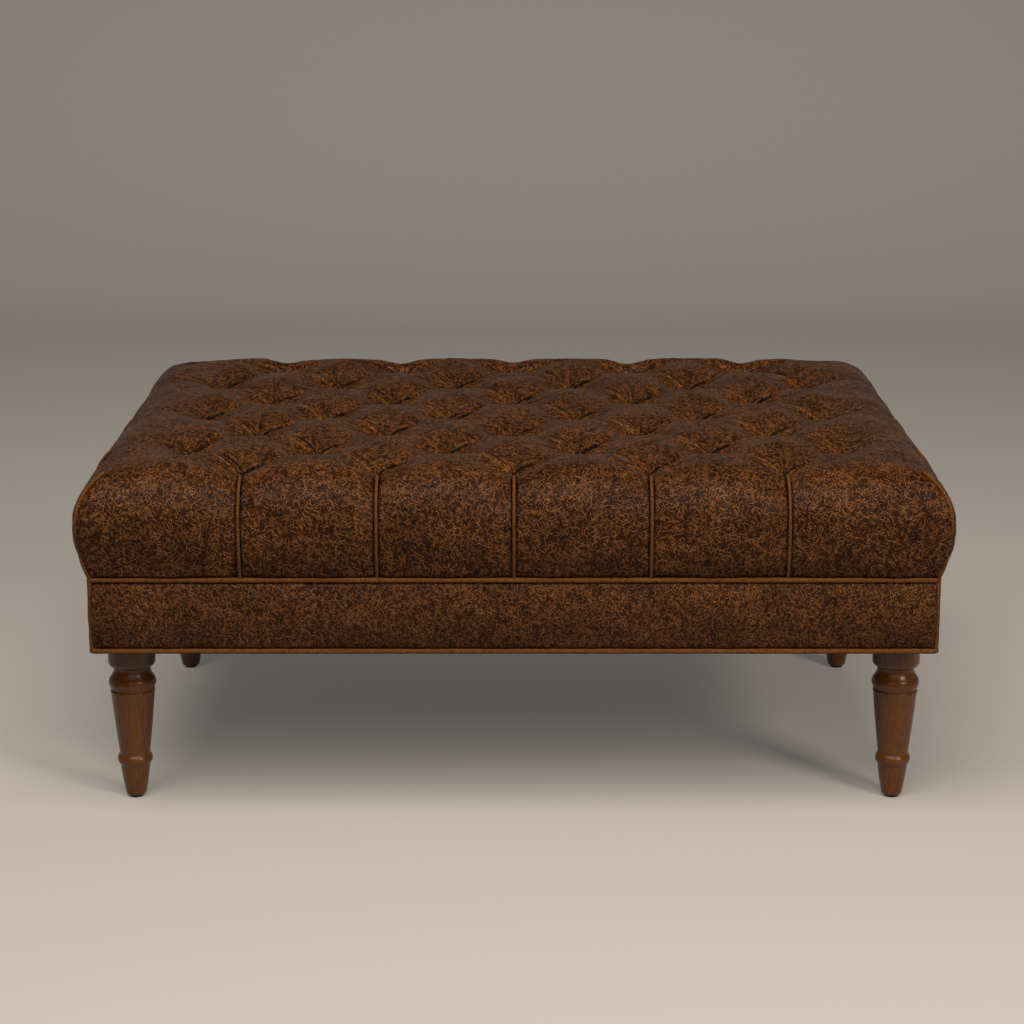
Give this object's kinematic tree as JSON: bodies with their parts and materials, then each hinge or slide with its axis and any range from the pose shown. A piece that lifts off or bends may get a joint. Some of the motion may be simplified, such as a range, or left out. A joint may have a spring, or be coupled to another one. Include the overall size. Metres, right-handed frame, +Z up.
{
  "type": "ottoman coffee table",
  "caption": "Rectangular diamond-tufted leather ottoman coffee table: crowned cushion on a piped apron band, on turned wooden legs.",
  "frame": {"origin": "on the floor, under the middle of the cushion", "axes": "+X along the long side, to the right seen from the front; +Y to the back; +Z up"},
  "size_m": [1.223, 0.88, 0.514],
  "materials": {
    "leather": "distressed, satin",
    "leather_piping": "satin",
    "stained_wood": "stained, satin lacquer",
    "frame_wood": "planed",
    "plywood": "sanded",
    "foam": "matte",
    "dust_cloth": "matte",
    "twine": "matte",
    "washer_fibre": "matte",
    "zinc_steel": "zinc plated",
    "glide_plastic": "matte"
  },
  "bodies": {
    "root": {"apron_bottom_welt": "leather_piping", "apron_corner_welt_front_left": "leather_piping", "apron_corner_welt_front_right": "leather_piping", "apron_corner_welt_rear_left": "leather_piping", "apron_corner_welt_rear_right": "leather_piping", "apron_panel_back": "leather", "apron_panel_front": "leather", "apron_panel_left": "leather", "apron_panel_right": "leather", "apron_top_welt": "leather_piping", "back_seam_welts": "leather_piping", "corner_block_front_left": "frame_wood", "corner_block_front_right": "frame_wood", "corner_block_rear_left": "frame_wood", "corner_block_rear_right": "frame_wood", "corner_block_screws": "zinc_steel", "cross_rail_left": "frame_wood", "cross_rail_right": "frame_wood", "cushion_corner_welt_front_left": "leather_piping", "cushion_corner_welt_front_right": "leather_piping", "cushion_corner_welt_rear_left": "leather_piping", "cushion_corner_welt_rear_right": "leather_piping", "deck_panel": "plywood", "deck_screws": "zinc_steel", "dust_cover": "dust_cloth", "foam_core": "foam", "foot_glide_front_left": "glide_plastic", "foot_glide_front_right": "glide_plastic", "foot_glide_rear_left": "glide_plastic", "foot_glide_rear_right": "glide_plastic", "front_seam_welts": "leather_piping", "left_seam_welts": "leather_piping", "leg_bolt_front_left": "zinc_steel", "leg_bolt_front_right": "zinc_steel", "leg_bolt_rear_left": "zinc_steel", "leg_bolt_rear_right": "zinc_steel", "leg_front_left": "stained_wood", "leg_front_right": "stained_wood", "leg_plate_front_left": "zinc_steel", "leg_plate_front_right": "zinc_steel", "leg_plate_rear_left": "zinc_steel", "leg_plate_rear_right": "zinc_steel", "leg_plate_screws": "zinc_steel", "leg_rear_left": "stained_wood", "leg_rear_right": "stained_wood", "rail_back": "frame_wood", "rail_front": "frame_wood", "rail_left": "frame_wood", "rail_right": "frame_wood", "right_seam_welts": "leather_piping", "tie_washers": "washer_fibre", "tuft_ties": "twine", "tufted_cushion": "leather"}
  },
  "joints": []
}
